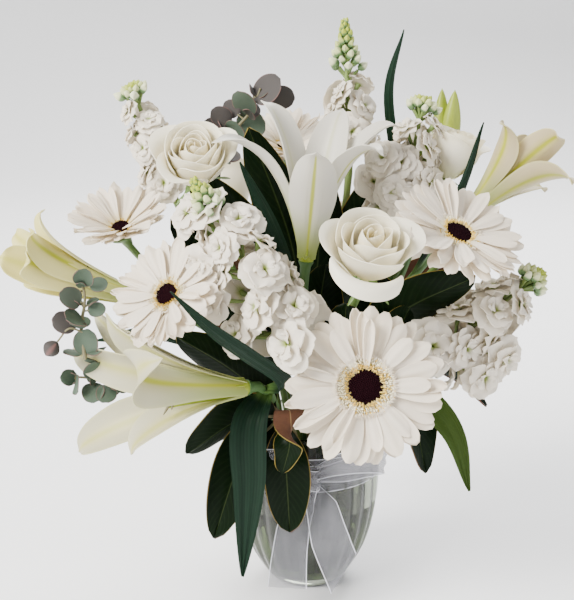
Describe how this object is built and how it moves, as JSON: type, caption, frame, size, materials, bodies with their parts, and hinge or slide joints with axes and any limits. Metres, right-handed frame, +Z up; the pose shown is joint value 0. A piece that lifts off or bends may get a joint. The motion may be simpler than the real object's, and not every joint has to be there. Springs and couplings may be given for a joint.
{
  "type": "floral table centerpiece",
  "caption": "Round flower arrangement of white gerberas, roses, lilies and stock with dark foliage, standing in a clear glass vase of water tied with a sheer ribbon.",
  "frame": {"origin": "centre of the flat underside of the vase's foot", "axes": "+Z up; -Y towards the viewer of the picture, the side with the ribbon bow and the largest gerbera; +X to that viewer's right"},
  "size_m": [0.4153, 0.3326, 0.413],
  "materials": {
    "glass": "clear glass with faint upright flutes",
    "water": "clear water",
    "organza": "sheer organza",
    "gerberaWhite": "matte, warm white",
    "gerberaEye": "matte, dark maroon",
    "roseIvory": "satin, ivory",
    "lilyCream": "satin, cream white",
    "stockWhite": "matte, white",
    "stemGreen": "satin, fresh green",
    "stockGreen": "matte, yellow green",
    "lilyGreen": "satin, deep green",
    "eucalyptus": "matte, grey green",
    "magnolia": "gloss, very dark green"
  },
  "bodies": {
    "root": {"vase": "glass", "water": "water", "ribbon_band": "organza", "ribbon_bow": "organza", "gerbera_front_stem": "stemGreen", "gerbera_front_rays": "gerberaWhite", "gerbera_front_eye": "gerberaEye", "gerbera_right_stem": "stemGreen", "gerbera_right_rays": "gerberaWhite", "gerbera_right_eye": "gerberaEye", "gerbera_left_stem": "stemGreen", "gerbera_left_rays": "gerberaWhite", "gerbera_left_eye": "gerberaEye", "gerbera_upper_left_stem": "stemGreen", "gerbera_upper_left_rays": "gerberaWhite", "gerbera_upper_left_eye": "gerberaEye", "gerbera_top_stem": "stemGreen", "gerbera_top_rays": "gerberaWhite", "gerbera_top_eye": "gerberaEye", "gerbera_rear_stem": "stemGreen", "gerbera_rear_rays": "gerberaWhite", "gerbera_rear_eye": "gerberaEye", "rose_front_stem": "stemGreen", "rose_front_petals": "roseIvory", "rose_left_stem": "stemGreen", "rose_left_petals": "roseIvory", "rose_right_stem": "stemGreen", "rose_right_petals": "roseIvory", "rose_rear_stem": "stemGreen", "rose_rear_petals": "roseIvory", "lily_centre_stem": "lilyGreen", "lily_centre_tepals": "lilyCream", "lily_left_stem": "lilyGreen", "lily_left_tepals": "lilyCream", "lily_lower_left_stem": "lilyGreen", "lily_lower_left_tepals": "lilyCream", "lily_right_stem": "lilyGreen", "lily_right_tepals": "lilyCream", "stock_centre_stem": "stockGreen", "stock_centre_florets": "stockWhite", "stock_top_stem": "stockGreen", "stock_top_florets": "stockWhite", "stock_upper_left_stem": "stockGreen", "stock_upper_left_florets": "stockWhite", "stock_upper_right_stem": "stockGreen", "stock_upper_right_florets": "stockWhite", "stock_lower_right_stem": "stockGreen", "stock_lower_right_florets": "stockWhite", "eucalyptus_top": "eucalyptus", "eucalyptus_left": "eucalyptus", "magnolia_front": "magnolia", "magnolia_right": "magnolia", "magnolia_middle": "magnolia", "magnolia_rear": "magnolia"}
  },
  "joints": []
}
